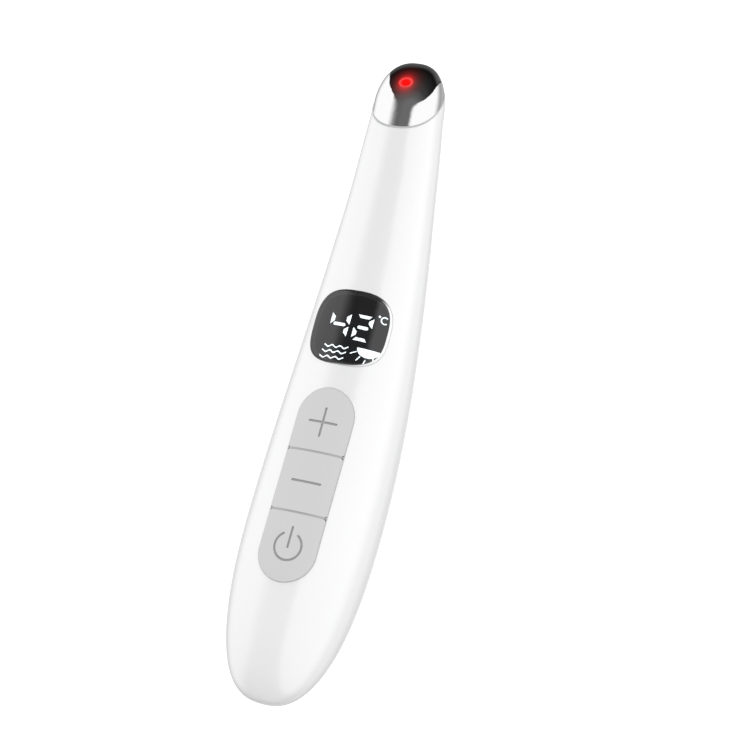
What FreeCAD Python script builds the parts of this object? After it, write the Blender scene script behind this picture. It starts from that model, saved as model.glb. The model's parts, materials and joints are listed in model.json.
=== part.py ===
import FreeCAD, Part
import math
import os
from FreeCAD import Placement, Rotation, Vector

# A heated massage wand for the skin round the eyes, in millimetres.
# It is drawn in its own frame: x across, y along the handle from its lower end, z towards the keys.
# At the end every piece is laid down on the flat land of the back shell, which then is at z = 0.

# Outer form: half widths along the centreline, which is straight and then bends forwards.
handle_half_width = 16.0
widest_at = 46.0
lower_end_power = 2.5
neck_half_width = 8.1
neck_end = 155.7
neck_end_slope = 0.75
bend_start = 43.2
bend_radius = 334.0
toe_lift = 1.0
toe_length = 22.0
section_power = 2.3
front_ratio = 0.753
back_ratio = 0.85
section_points = 24
wall = 2.0
fit = 0.2
lining = 0.9

# Joint line between the two half shells, measured behind the centreline.
seam_depth = 6.7

# Flat land on the back that the wand rests on.
rest_at = 73.0
rest_depth = 0.55

# Domed tip, and the slanted joint ring of the chromed head that takes in most of it.
dome_start = 145.0
dome_length = 12.7
dome_drop = 1.8
dome_width_power = 2.4
dome_front_power = 1.9
dome_back_power = 1.5
dome_angles = (12, 24, 36, 47, 57, 66, 74, 81, 86)
ring_at = 148.75
ring_tilt = 48.0
head_step = 0.15
skirt_length = 3.5
seal_thickness = 0.3

# Oval light window in the head, its lamp and the lamp's board.
window_at = 149.7
window_half_width = 1.7
window_half_length = 1.4
window_lean = 27.0
window_depth = 1.8
lamp_board_depth = 4.3
lamp_board_radius = 2.8
lamp_board_thickness = 0.8
lamp_side = 1.6
lamp_height = 0.7
heater_thickness = 0.45
heater_length = 3.0
thermistor_radius = 0.32
thermistor_length = 1.8
thermistor_place = -1.9

# Keys: one pill, divided into three keys that travel straight in.
pill_half_width = 7.0
pill_low = 26.8
pill_high = 73.5
key_divisions = (43.2, 58.0)
key_gap = 0.2
division_gap = 0.36
key_corner = 0.7
key_proud = 0.25
key_flange = 0.7
key_travel = 0.3
stem_radius = 1.5
mark_width = 0.55
mark_depth = 0.3
plus_centre = 65.2
minus_centre = 50.6
power_centre = 35.1
plus_reach = 3.35
minus_reach = 3.5
power_radius = 3.3
power_gap_angle = 66.0
power_bar = (34.9, 39.6)

# Switches under the keys.
switch_width = 4.2
switch_length = 3.4
switch_height = 1.4
plunger_radius = 0.9
plunger_rise = 0.8
plunger_tail = 0.5
plunger_clearance = 0.1
stem_clearance = 0.05

# Display: a dark lens, a printed film behind it and a lamp block on the board.
lens_centre = 88.6
lens_half_width = 9.8
lens_half_length = 9.15
lens_power = 3.0
lens_gap = 0.08
lens_depth = 0.6
lens_ledge = 1.0
film_gap = 0.05
film_thickness = 0.25
display_width = 13.4
display_length = 12.2
display_height = 4.1

# Main board, with the display and the switches on its front face.
board_low = 20.5
board_high = 104.5
board_half_width = 8.3
board_face = 6.0
board_thickness = 1.0
board_corner = 3.0
chip_side = 6.0
chip_height = 0.9
chip_at = 90.0
charger_side = 3.4
charger_at = 27.0

# Posts that hold the main board, as x and y of each screw.
board_post_places = ((0.0, 22.8), (0.0, 76.4), (-6.0, 101.6), (6.0, 101.6))
board_post_radius = 1.75
board_screw_radius = 0.6
board_screw_head_radius = 1.3
board_screw_head = 0.7
board_screw_length = 4.0

# Screws that pull the back shell onto the front shell.
shell_screw_places = ((10.5, 28.0), (7.3, 107.5))
shell_post_radius = 2.0
shell_post_extra = 0.5
shell_screw_radius = 0.7
shell_screw_head_radius = 1.45
shell_screw_head = 1.1
shell_screw_length = 6.0
shell_screw_seat = 1.4
pilot_clearance = 0.05
pilot_end = 0.3

# Battery behind the board, on ribs of the back shell.
battery_width = 17.0
battery_length = 42.0
battery_thickness = 6.0
battery_low = 33.0
battery_back = -7.2
battery_corner = 2.0
pad_width = 13.0
pad_thickness = 0.6
pad_margin = 1.0
rib_thickness = 1.2
rib_half_width = 9.0
battery_rib_places = (37.0, 54.0, 71.0)

# Charging socket under its own small board.
port_depth = 4.6
socket_width = 8.94
socket_height = 3.2
socket_length = 7.3
socket_mouth = 2.7
socket_metal = 0.3
socket_floor = 1.2
socket_rounding = 0.47
socket_clearance = 0.15
tongue_width = 6.7
tongue_thickness = 0.7
tongue_recess = 0.8
socket_board_low = 6.0
socket_board_high = 19.0
socket_board_half_width = 6.2
socket_board_thickness = 0.8
socket_board_corner = 1.5
socket_screw_length = 3.4
socket_post_place = (4.3, 16.2)
socket_post_radius = 1.6

# Vibration motor in the neck, in a rubber sleeve.
motor_at = 112.0
motor_radius = 3.0
motor_length = 12.0
sleeve_thickness = 0.8
sleeve_length = 10.0
shaft_radius = 0.4
shaft_length = 5.5
weight_radius = 2.6
weight_length = 3.6
weight_gap = 0.9
cradle_places = (116.0, 121.0)
cradle_half_width = 4.3
cradle_split = 0.4

# Cables, with the radius of their bends and the places where they start.
wire_diameter = 0.8
wire_bend = 4.0
wire_gap = 0.02
battery_lead_x = 2.0
battery_lead_share = 0.6
battery_lead_run = 2.5
socket_lead_x = 2.4
socket_lead_inset = 1.5
socket_lead_bend = 0.95
motor_lead_x = 1.2
motor_lead_inset = 2.5
motor_lead_gap = 0.1
cable_diameter = 1.2
cable_bend = 6.5
cable_foot = 2.9
cable_foot_inset = 6.5
cable_lift = 0.8
cable_beside_motor = 2.2
cable_before_motor = -2.2
cable_after_weight = 9.0
cable_end = (1.4, -0.8)

big = 200.0
reach = 40.0
cross = Vector(1, 0, 0)
forwards = Vector(0, 0, 1)


def half_width(s):
    """Half width of the body at the distance s along the centreline."""
    if s < widest_at:
        share = (widest_at - s) / widest_at
        return handle_half_width * (1 - share ** lower_end_power) ** (1 / lower_end_power)
    t = (s - widest_at) / (neck_end - widest_at)
    fall = handle_half_width - neck_half_width
    if t > 1:
        return neck_half_width - fall * neck_end_slope * (t - 1)
    return handle_half_width - fall * (3 * t * t - 2 * t ** 3 + neck_end_slope * (t ** 3 - t * t))


def taper(s):
    step = 1e-3 * min(1, s)
    return (half_width(s + step) - half_width(s - step)) / (2 * step)


def station(s):
    """Placement on the centreline: local y runs along it and local z points forwards."""
    if s < bend_start:
        lift = toe_lift * (max(toe_length - s, 0) / toe_length) ** 2
        return Placement(Vector(0, s, lift), Rotation())
    turn = (s - bend_start) / bend_radius
    rise = bend_radius * (1 - math.cos(turn))
    point = Vector(0, bend_start + bend_radius * math.sin(turn), rise)
    return Placement(point, Rotation(cross, math.degrees(turn)))


def s_at(y):
    """Distance along the centreline of the point at y."""
    if y < bend_start:
        return y
    return bend_start + bend_radius * math.asin((y - bend_start) / bend_radius)


def powered(value, power):
    return math.copysign(abs(value) ** (2 / power), value)


def section(place, half, front, back, power=section_power):
    """Closed section with its own depth in front of and behind the centreline."""
    points = []
    for i in range(section_points):
        angle = 2 * math.pi * i / section_points
        depth = -powered(math.cos(angle), power)
        side = powered(math.sin(angle), power)
        points.append(place.multVec(Vector(half * side, 0, (front if depth > 0 else back) * depth)))
    curve = Part.BSplineCurve()
    curve.interpolate(points, True)
    return Part.Wire([curve.toShape()])


def body_section(s, inset):
    """Section at the distance s, moved inwards square to the surface."""
    slope = taper(s)
    half = half_width(s)
    place = station(s + inset * slope / math.hypot(1, slope))
    front = half * front_ratio - inset / math.hypot(1, front_ratio * slope)
    back = half * back_ratio - inset / math.hypot(1, back_ratio * slope)
    return section(place, half - inset / math.hypot(1, slope), front, back)


def dome_section(angle, inset):
    """Section of the domed tip, from 0 degrees at its start to 90 at the tip."""
    t = math.sin(math.radians(angle))
    half = half_width(dome_start)
    place = station(dome_start + (dome_length - inset) * t)
    place = place.multiply(Placement(Vector(0, 0, -dome_drop * t * t), Rotation()))
    width = (half - inset) * (1 - t ** dome_width_power) ** (1 / dome_width_power)
    front = (half * front_ratio - inset) * (1 - t ** dome_front_power) ** (1 / dome_front_power)
    back = (half * back_ratio - inset) * (1 - t ** dome_back_power) ** (1 / dome_back_power)
    return section(place, width, front, back)


def body(inset):
    """Solid of the whole outer form, moved inwards by inset."""
    rounded = [math.radians(t) for t in (3, 7.5, 13, 20, 28, 37, 47, 58, 70)]
    places = [widest_at * (1 - math.cos(t) ** (2 / lower_end_power)) for t in rounded]
    first, steps = widest_at - 8, 8
    last = dome_start - 4.5
    places += [first + (last - first) * i / steps for i in range(steps + 1)]
    wires = [body_section(s, inset) for s in places + [dome_start]]
    wires += [dome_section(angle, inset) for angle in dome_angles]
    pole = Part.Vertex(station(inset).Base)
    tip = Part.Vertex(station(dome_start + dome_length - inset).multVec(Vector(0, 0, -dome_drop)))
    return Part.makeLoft([pole] + wires + [tip], True, False)


def beyond(place, axis):
    """Half space on the side of a plane through place that its local axis points to."""
    block = Part.makeBox(2 * big, 2 * big, big, Vector(-big, -big, 0))
    block.Placement = place.multiply(Placement(Vector(), Rotation(forwards, axis)))
    return block


def prism(wire, low=0.0, high=reach):
    """Solid over a flat outline in the x-y plane, between two heights."""
    solid = Part.Face(wire).extrude(Vector(0, 0, high - low))
    solid.translate(Vector(0, 0, low))
    return solid


def box(x, y, z):
    """Box between pairs of limits."""
    return Part.makeBox(x[1] - x[0], y[1] - y[0], z[1] - z[0], Vector(x[0], y[0], z[0]))


def rod(radius, low, high, x=0.0, y=0.0):
    """Cylinder along z between two heights."""
    return Part.makeCylinder(radius, high - low, Vector(x, y, low))


def axle(radius, start, length, offset=0.0):
    """Cylinder along the neck, from the motor's rear face plus start."""
    cylinder = Part.makeCylinder(radius, length, Vector(0, start, offset), Vector(0, 1, 0))
    cylinder.Placement = station(motor_at).multiply(cylinder.Placement)
    return cylinder


def pill(half, low, high):
    """Outline with straight sides and half round ends."""
    a, b = low + half, high - half
    edges = [
        Part.makeLine(Vector(half, a, 0), Vector(half, b, 0)),
        Part.Arc(Vector(half, b, 0), Vector(0, high, 0), Vector(-half, b, 0)).toShape(),
        Part.makeLine(Vector(-half, b, 0), Vector(-half, a, 0)),
        Part.Arc(Vector(-half, a, 0), Vector(0, low, 0), Vector(half, a, 0)).toShape(),
    ]
    return Part.Wire(edges)


def lens_outline(shrink):
    """Rounded square outline of the display, made smaller all round by shrink."""
    flat = Placement(Vector(0, lens_centre, 0), Rotation(cross, -90))
    along = lens_half_length - shrink
    return section(flat, lens_half_width - shrink, along, along, lens_power)


def rounded_plate(half, low, high, bottom, thickness, corner):
    plate = box((-half, half), (low, high), (bottom, bottom + thickness))
    upright = [e for e in plate.Edges if abs(e.tangentAt(e.FirstParameter).z) > 0.9]
    return plate.makeFillet(corner, upright)


def cable(points, diameter, bend):
    """Round cable along straight runs that are joined by tangent arcs."""
    edges = []
    start = points[0]
    for before, corner, after in zip(points, points[1:], points[2:]):
        inwards = (before - corner).normalize()
        outwards = (after - corner).normalize()
        half_turn = (math.pi - inwards.getAngle(outwards)) / 2
        reach = bend * math.tan(half_turn)
        middle = (inwards + outwards).normalize() * (bend / math.cos(half_turn) - bend)
        enter, leave = corner + inwards * reach, corner + outwards * reach
        edges.append(Part.makeLine(start, enter))
        edges.append(Part.Arc(enter, corner + middle, leave).toShape())
        start = leave
    edges.append(Part.makeLine(start, points[-1]))
    path = Part.Wire(edges)
    ring = Part.Wire([Part.makeCircle(diameter / 2, points[0], points[1] - points[0])])
    tube = path.makePipeShell([ring], True, False)
    print("cable length", round(path.Length, 1), "bends", bend, "valid", tube.isValid())
    return tube


def seam_at(s):
    """Depth of the joint line behind the centreline: level with the socket at the lower end."""
    if s < widest_at:
        return port_depth + (seam_depth - port_depth) * s / widest_at
    return seam_depth * half_width(s) / handle_half_width


def behind_seam():
    """Everything behind the joint surface, which runs straight across."""
    places = [0, 12, 24, 36, 48, 62, 76, 90, 104, 118, 132, 146, neck_end + 12]
    points = [station(s).multVec(Vector(0, 0, -seam_at(s))) for s in places]
    points.insert(0, points[0] - Vector(0, reach / 2, 0))
    curve = Part.BSplineCurve()
    curve.interpolate(points)
    low = -big
    far, near = points[-1], points[0]
    edges = [
        curve.toShape(),
        Part.makeLine(far, Vector(0, far.y, low)),
        Part.makeLine(Vector(0, far.y, low), Vector(0, near.y, low)),
        Part.makeLine(Vector(0, near.y, low), near),
    ]
    solid = Part.Face(Part.Wire(edges)).extrude(Vector(2 * reach, 0, 0))
    solid.translate(Vector(-reach, 0, 0))
    return solid


def seam_height(y):
    s = s_at(y)
    return station(s).multVec(Vector(0, 0, -seam_at(s))).z


def both_sides(places):
    return [(side * x, y) for x, y in places for side in (-1, 1)]


def back_line(s):
    return station(s).multVec(Vector(0, 0, -half_width(s) * back_ratio))


# The plane of the flat land, and the placement that lays the wand on it.
step = 0.5
back_run = back_line(rest_at + step) - back_line(rest_at - step)
rest_angle = math.degrees(math.atan2(back_run.z, back_run.y))
rest_plane = Placement(back_line(rest_at), Rotation(cross, rest_angle))
rest_plane = rest_plane.multiply(Placement(Vector(0, 0, rest_depth), Rotation()))
lay_down = rest_plane.inverse()

ring_plane = station(ring_at).multiply(Placement(Vector(), Rotation(cross, ring_tilt)))
seal_plane = ring_plane.multiply(Placement(Vector(0, -seal_thickness, 0), Rotation()))
skirt_plane = ring_plane.multiply(Placement(Vector(0, -skirt_length, 0), Rotation()))
heater_plane = ring_plane.multiply(Placement(Vector(0, heater_length, 0), Rotation()))
up_axis = Vector(0, 1, 0)

cavity = body(wall)
trim = body(wall / 2)
proud = body(-key_proud)
mark_floor = body(mark_depth - key_proud)
lodged = body(wall + fit)
lined = body(wall + fit + lining)
head_form = body(head_step)
behind = behind_seam()
lens_floor = body(lens_depth)
hollow_tube = body(0).cut(cavity).cut(beyond(seal_plane, up_axis))


def front_posts():
    """Posts of the front shell: for the board's screws and for the shell screws."""
    posts = [rod(board_post_radius, board_face, reach, x, y) for x, y in board_post_places]
    corners = both_sides(shell_screw_places)
    return posts + [rod(shell_post_radius, -reach, reach, x, y).cut(behind) for x, y in corners]


def board_pilots():
    depth = board_screw_length - board_thickness
    radius = board_screw_radius + pilot_clearance
    return [rod(radius, board_face, board_face + depth, x, y) for x, y in board_post_places]


def shell_seat(y):
    """Height of the face that the head of a shell screw pulls on."""
    return seam_height(y) - shell_screw_seat


def shell_pilots():
    radius = shell_screw_radius + pilot_clearance
    holes = []
    for x, y in both_sides(shell_screw_places):
        seat = shell_seat(y)
        holes.append(rod(radius, seat, seat + shell_screw_length + pilot_end, x, y))
    return holes


def cradle_ribs(low, high):
    """Cross ribs that hold the motor's sleeve, between two local heights."""
    ribs = []
    for s in cradle_places:
        half = rib_thickness / 2
        rib = box((-cradle_half_width, cradle_half_width), (-half, half), (low, high))
        rib.Placement = station(s)
        ribs.append(rib)
    return ribs


def sleeve_hole():
    return axle(motor_radius + sleeve_thickness, -motor_length, 3 * motor_length)


def socket_hole():
    """Mouth for the charging plug, level with the joint line."""
    half = socket_width / 2 + socket_clearance
    high = socket_height / 2 + socket_clearance
    centre = port_height()
    block = box((-half, half), (-reach, socket_mouth + socket_length), (centre - high, centre + high))
    along_y = [e for e in block.Edges if abs(e.tangentAt(e.FirstParameter).y) > 0.9]
    return block.makeFillet(2 * high * socket_rounding, along_y)


def key_ranges():
    low, high = key_divisions
    half = division_gap / 2
    return {
        "power_key": (pill_low - reach, low - half),
        "minus_key": (low + half, high - half),
        "plus_key": (high + half, pill_high + reach),
    }


def make_front_shell():
    ribs = [rib.cut(sleeve_hole()) for rib in cradle_ribs(cradle_split / 2, reach)]
    carriers = Part.makeCompound(front_posts() + ribs).common(trim)
    shell = hollow_tube.cut(behind).fuse(carriers.Solids)
    cuts = board_pilots() + shell_pilots() + [socket_hole()]
    cuts.append(prism(pill(pill_half_width + key_gap, pill_low - key_gap, pill_high + key_gap)))
    cuts.append(prism(lens_outline(lens_ledge)))
    cuts.append(prism(lens_outline(0)).cut(lens_floor))
    return shell.cut(cuts)


def make_back_shell():
    radius = shell_post_radius + shell_post_extra
    parts = [rod(radius, -reach, reach, x, y).common(behind) for x, y in both_sides(shell_screw_places)]
    for y in battery_rib_places:
        limits = (y - rib_thickness / 2, y + rib_thickness / 2)
        parts.append(box((-rib_half_width, rib_half_width), limits, (-reach, battery_back - pad_thickness)))
    for x, y in both_sides([socket_post_place]):
        parts.append(rod(socket_post_radius, -reach, socket_board_back(), x, y))
    parts += [rib.cut(sleeve_hole()) for rib in cradle_ribs(-reach, -cradle_split / 2)]
    carriers = Part.makeCompound(parts).common(trim)
    shell = hollow_tube.common(behind).fuse(carriers.Solids)
    cuts = shell_pilots() + [socket_hole(), beyond(rest_plane, Vector(0, 0, -1))]
    for x, y in both_sides(shell_screw_places):
        cuts.append(rod(shell_screw_head_radius + fit, -reach, shell_seat(y), x, y))
    pilot_low = socket_board_back() + socket_board_thickness - socket_screw_length - pilot_end
    for x, y in both_sides([socket_post_place]):
        cuts.append(rod(board_screw_radius + pilot_clearance, pilot_low, 0, x, y))
    return shell.cut(cuts)


def make_massage_head():
    """Chromed cap: its dome, and a skirt that goes into the shells."""
    dome = head_form.cut(lined).common(beyond(ring_plane, up_axis))
    skirt = lodged.cut(lined).common(beyond(skirt_plane, up_axis)).cut(beyond(ring_plane, up_axis))
    return dome.fuse(skirt).cut(window_shaft(fit / 2)).removeSplitter()


def make_head_seal():
    """Thin gasket between the head and the shells."""
    return head_form.cut(cavity).common(beyond(seal_plane, up_axis)).cut(beyond(ring_plane, up_axis))


def window_frame():
    """Placement at the light window, with local z out of the head and its zero on the dome."""
    place = station(window_at).multiply(Placement(Vector(), Rotation(cross, -window_lean)))
    line = Part.makeLine(place.Base, place.multVec(Vector(0, 0, reach)))
    far = max(v.Point.distanceToPoint(place.Base) for v in line.common(head_form).Vertexes)
    return place.multiply(Placement(Vector(0, 0, far), Rotation()))


window_place = window_frame()


def window_shaft(extra, low=-lamp_board_depth, high=reach):
    """Oval shaft through the head at the light window, larger all round by extra."""
    oval = Part.Ellipse(Vector(), window_half_width + extra, window_half_length + extra)
    shaft = prism(Part.Wire([oval.toShape()]), low, high)
    shaft.Placement = window_place.multiply(shaft.Placement)
    return shaft


def make_light_window():
    return window_shaft(0, -window_depth).common(head_form)


def make_lamp_board():
    board = rod(lamp_board_radius, -lamp_board_depth - lamp_board_thickness, -lamp_board_depth)
    board.Placement = window_place
    return board


def make_red_lamp():
    half = lamp_side / 2
    lamp = box((-half, half), (-half, half), (-lamp_board_depth, lamp_height - lamp_board_depth))
    lamp.Placement = window_place
    return lamp


def make_heater():
    """Heating film that lines the head's inside, above the skirt."""
    film = lined.cut(body(wall + fit + lining + heater_thickness))
    return film.common(beyond(ring_plane, up_axis)).cut(beyond(heater_plane, up_axis))


def make_thermistor():
    """Temperature bead on the lamp's board, close under the metal of the head."""
    start = Vector(-thermistor_length / 2, thermistor_place, thermistor_radius - lamp_board_depth)
    bead = Part.makeCylinder(thermistor_radius, thermistor_length, start, cross)
    bead.Placement = window_place
    return bead


def bar_mark(centre_y, half_x, half_y):
    """Straight mark with round ends, as an upright solid."""
    half = mark_width / 2
    if half_x > half_y:
        bar = box((-half_x, half_x), (centre_y - half, centre_y + half), (0, reach))
        ends = [(-half_x, centre_y), (half_x, centre_y)]
    else:
        bar = box((-half, half), (centre_y - half_y, centre_y + half_y), (0, reach))
        ends = [(0, centre_y - half_y), (0, centre_y + half_y)]
    return bar.fuse([rod(half, 0, reach, x, y) for x, y in ends])


def power_mark():
    """Broken ring with a bar in its gap."""
    half = mark_width / 2
    ring = rod(power_radius + half, 0, reach, 0, power_centre)
    ring = ring.cut(rod(power_radius - half, 0, reach, 0, power_centre))
    gap = math.radians(power_gap_angle / 2)
    middle = Vector(0, power_centre, 0)
    far = reach * math.cos(gap)
    left, right = [middle + Vector(side * reach * math.sin(gap), far, 0) for side in (-1, 1)]
    wedge = prism(Part.makePolygon([middle, right, left, middle]))
    ends = []
    for side in (-1, 1):
        x = side * power_radius * math.sin(gap)
        ends.append(rod(half, 0, reach, x, power_centre + power_radius * math.cos(gap)))
    low, high = power_bar
    bar = bar_mark((low + high) / 2, 0, (high - low) / 2)
    return ring.cut(wedge).fuse(ends + [bar])


def key_marks():
    plus = bar_mark(plus_centre, plus_reach, 0).fuse(bar_mark(plus_centre, 0, plus_reach))
    return {
        "power_key": (power_centre, power_mark()),
        "minus_key": (minus_centre, bar_mark(minus_centre, minus_reach, 0)),
        "plus_key": (plus_centre, plus),
    }


def rounded_at(solid, values):
    """Round the upright corners of a prism that lie at one of the y values."""
    corners = []
    for edge in solid.Edges:
        upright = abs(edge.tangentAt(edge.FirstParameter).z) > 0.9
        if upright and any(abs(edge.CenterOfMass.y - value) < 1e-3 for value in values):
            corners.append(edge)
    return solid.makeFillet(key_corner, corners)


def key_stem_low():
    return board_face + switch_height + plunger_rise + stem_clearance


def make_key(name):
    """Key cap with its mark, a flange that keeps it in, and a stem down to its switch."""
    low, high = key_ranges()[name]
    centre, mark = key_marks()[name]
    strip = box((-reach, reach), (low, high), (0, reach))
    cap = prism(pill(pill_half_width, pill_low, pill_high)).common(strip)
    cap = rounded_at(cap, (low, high)).common(proud).cut(lined)
    wide = pill_half_width + key_flange
    flange = prism(pill(wide, pill_low - key_flange, pill_high + key_flange)).common(strip)
    flange = flange.common(lodged).cut(lined)
    stem = rod(stem_radius, key_stem_low(), reach, 0, centre).common(trim)
    return cap.fuse([flange, stem]).cut(mark.cut(mark_floor)).removeSplitter()


def make_switch(centre):
    """Switch housing on the board, with a well for its plunger."""
    half = switch_width / 2
    across = switch_length / 2
    top = board_face + switch_height
    housing = box((-half, half), (centre - across, centre + across), (board_face, top))
    well_depth = plunger_tail + key_travel + plunger_clearance
    well = rod(plunger_radius + plunger_clearance, top - well_depth, top, 0, centre)
    return housing.cut(well)


def make_plunger(centre):
    top = board_face + switch_height
    return rod(plunger_radius, top - plunger_tail, top + plunger_rise, 0, centre)


def make_display_lens():
    shape = prism(lens_outline(lens_gap), board_face)
    return shape.common(proud).cut(lens_floor)


def make_display_film():
    top = lens_depth + film_gap
    shape = prism(lens_outline(lens_ledge + lens_gap))
    return shape.common(body(top)).cut(body(top + film_thickness))


def make_display_block():
    half = display_width / 2
    across = display_length / 2
    y = (lens_centre - across, lens_centre + across)
    return box((-half, half), y, (board_face, board_face + display_height))


def make_main_board():
    bottom = board_face - board_thickness
    plate = rounded_plate(board_half_width, board_low, board_high, bottom, board_thickness, board_corner)
    radius = board_screw_radius + pilot_clearance
    return plate.cut([rod(radius, bottom, board_face, x, y) for x, y in board_post_places])


def board_chip(side, y):
    """Chip on the back face of the main board."""
    half = side / 2
    top = board_face - board_thickness
    return box((-half, half), (y - half, y + half), (top - chip_height, top))


def screw(x, y, face, length, radius, head_radius, head):
    """Screw that enters forwards, with its head behind the given face."""
    shank = rod(radius, face, face + length, x, y)
    return shank.fuse(rod(head_radius, face - head, face, x, y)).removeSplitter()


def make_board_screws():
    face = board_face - board_thickness
    size = (board_screw_length, board_screw_radius, board_screw_head_radius, board_screw_head)
    return Part.makeCompound([screw(x, y, face, *size) for x, y in board_post_places])


def make_shell_screws():
    size = (shell_screw_length, shell_screw_radius, shell_screw_head_radius, shell_screw_head)
    return Part.makeCompound([screw(x, y, shell_seat(y), *size) for x, y in both_sides(shell_screw_places)])


def make_battery():
    half = battery_width / 2
    y = (battery_low, battery_low + battery_length)
    cell = box((-half, half), y, (battery_back, battery_back + battery_thickness))
    along_y = [e for e in cell.Edges if abs(e.tangentAt(e.FirstParameter).y) > 0.9]
    return cell.makeFillet(battery_corner, along_y)


def make_battery_pad():
    half = pad_width / 2
    y = (battery_low + pad_margin, battery_low + battery_length - pad_margin)
    return box((-half, half), y, (battery_back - pad_thickness, battery_back))


def port_height():
    return station(0).Base.z - port_depth


def socket_board_back():
    return port_height() + socket_height / 2


def make_socket_board():
    back = socket_board_back()
    limits = (socket_board_half_width, socket_board_low, socket_board_high)
    plate = rounded_plate(*limits, back, socket_board_thickness, socket_board_corner)
    radius = board_screw_radius + pilot_clearance
    places = both_sides([socket_post_place])
    return plate.cut([rod(radius, back, back + socket_board_thickness, x, y) for x, y in places])


def make_socket_screws():
    """Screws from the front into the posts of the back shell."""
    face = socket_board_back() + socket_board_thickness
    screws = []
    for x, y in both_sides([socket_post_place]):
        shank = rod(board_screw_radius, face - socket_screw_length, face, x, y)
        screws.append(shank.fuse(rod(board_screw_head_radius, face, face + board_screw_head, x, y)))
    return Part.makeCompound([s.removeSplitter() for s in screws])


def socket_block(width, height, low, high):
    half = width / 2
    centre = port_height()
    block = box((-half, half), (low, high), (centre - height / 2, centre + height / 2))
    along_y = [e for e in block.Edges if abs(e.tangentAt(e.FirstParameter).y) > 0.9]
    return block.makeFillet(height * socket_rounding, along_y)


def make_charge_socket():
    """Metal shell of the socket, open towards the lower end."""
    high = socket_mouth + socket_length
    shell = socket_block(socket_width, socket_height, socket_mouth, high)
    inner = (socket_width - 2 * socket_metal, socket_height - 2 * socket_metal)
    return shell.cut(socket_block(*inner, socket_mouth - 1, high - socket_floor))


def make_socket_tongue():
    half = tongue_width / 2
    centre = port_height()
    thick = tongue_thickness / 2
    y = (socket_mouth + tongue_recess, socket_mouth + socket_length - socket_floor)
    return box((-half, half), y, (centre - thick, centre + thick))


def make_motor():
    return axle(motor_radius, 0, motor_length)


def make_sleeve():
    start = (motor_length - sleeve_length) / 2
    tube = axle(motor_radius + sleeve_thickness, start, sleeve_length)
    return tube.cut(axle(motor_radius, start, sleeve_length))


def make_motor_shaft():
    return axle(shaft_radius, motor_length, shaft_length)


def make_motor_weight():
    """Half disc that shakes the wand as it turns."""
    start = motor_length + weight_gap
    disc = axle(weight_radius, start, weight_length)
    hub = axle(2 * shaft_radius, start, weight_length)
    half = box((-reach, reach), (-reach, reach), (0, reach))
    half.Placement = station(motor_at)
    return disc.common(half).fuse(hub).cut(axle(shaft_radius, start, weight_length)).removeSplitter()


def make_battery_leads():
    """Two leads from the battery's upper end to the back face of the main board."""
    start = battery_low + battery_length
    middle = battery_back + battery_thickness * battery_lead_share
    turn = start + battery_lead_run + wire_bend
    top = board_face - board_thickness
    leads = []
    for x in (-battery_lead_x, battery_lead_x):
        points = [Vector(x, start, middle), Vector(x, turn, middle), Vector(x, turn, top)]
        leads.append(cable(points, wire_diameter, wire_bend))
    return Part.makeCompound(leads)


def make_socket_leads():
    """Two leads from the socket's board forwards to the main board."""
    low = socket_board_back() + socket_board_thickness
    high = board_face - board_thickness
    half_way = (low + high) / 2
    y = socket_board_high - socket_lead_inset
    end_y = y + 2 * wire_bend
    leads = []
    route = [(y, low), (y, half_way), (end_y, half_way), (end_y, high)]
    for x in (-socket_lead_x, socket_lead_x):
        points = [Vector(x, *place) for place in route]
        leads.append(cable(points, wire_diameter, (half_way - low) * socket_lead_bend))
    return Part.makeCompound(leads)


def make_motor_leads():
    """Two straight leads from the motor's rear face to the end of the main board."""
    leads = []
    end_y = board_high - motor_lead_inset
    for x in (-motor_lead_x, motor_lead_x):
        start = station(motor_at).multVec(Vector(x, -motor_lead_gap, 0))
        end = Vector(x, end_y, board_face + wire_diameter / 2 + wire_gap)
        run = end - start
        leads.append(Part.makeCylinder(wire_diameter / 2, run.Length, start, run))
    return Part.makeCompound(leads)


def make_head_cable():
    """Cable from the main board past the motor to the lamp's board in the head."""
    foot = Vector(cable_foot, board_high - cable_foot_inset, board_face + cable_diameter / 2 + wire_gap)
    gap = station(motor_at + cable_before_motor).multVec(Vector(cable_foot + cable_lift, 0, cable_lift / 2))
    side = motor_radius + sleeve_thickness + cable_beside_motor
    beside = station(motor_at + motor_length / 3).multVec(Vector(side, 0, cable_lift))
    past = station(motor_at + motor_length + cable_after_weight).multVec(Vector(motor_radius, 0, cable_lift))
    below = -lamp_board_depth - lamp_board_thickness - cable_diameter / 2
    end = window_place.multVec(Vector(*cable_end, below))
    return cable([foot, gap, beside, past, end], cable_diameter, cable_bend)


nodes = {
    "front_shell": make_front_shell(),
    "back_shell": make_back_shell(),
    "massage_head": make_massage_head(),
    "head_seal": make_head_seal(),
    "light_window": make_light_window(),
    "lamp_board": make_lamp_board(),
    "red_lamp": make_red_lamp(),
    "heating_film": make_heater(),
    "thermistor": make_thermistor(),
    "display_lens": make_display_lens(),
    "display_film": make_display_film(),
    "display_block": make_display_block(),
    "main_board": make_main_board(),
    "control_chip": board_chip(chip_side, chip_at),
    "charge_chip": board_chip(charger_side, charger_at),
    "board_screws": make_board_screws(),
    "shell_screws": make_shell_screws(),
    "battery": make_battery(),
    "battery_pad": make_battery_pad(),
    "battery_leads": make_battery_leads(),
    "charge_socket": make_charge_socket(),
    "socket_tongue": make_socket_tongue(),
    "socket_board": make_socket_board(),
    "socket_screws": make_socket_screws(),
    "socket_leads": make_socket_leads(),
    "vibration_motor": make_motor(),
    "motor_sleeve": make_sleeve(),
    "motor_shaft": make_motor_shaft(),
    "motor_weight": make_motor_weight(),
    "motor_leads": make_motor_leads(),
    "head_cable": make_head_cable(),
}
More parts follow.
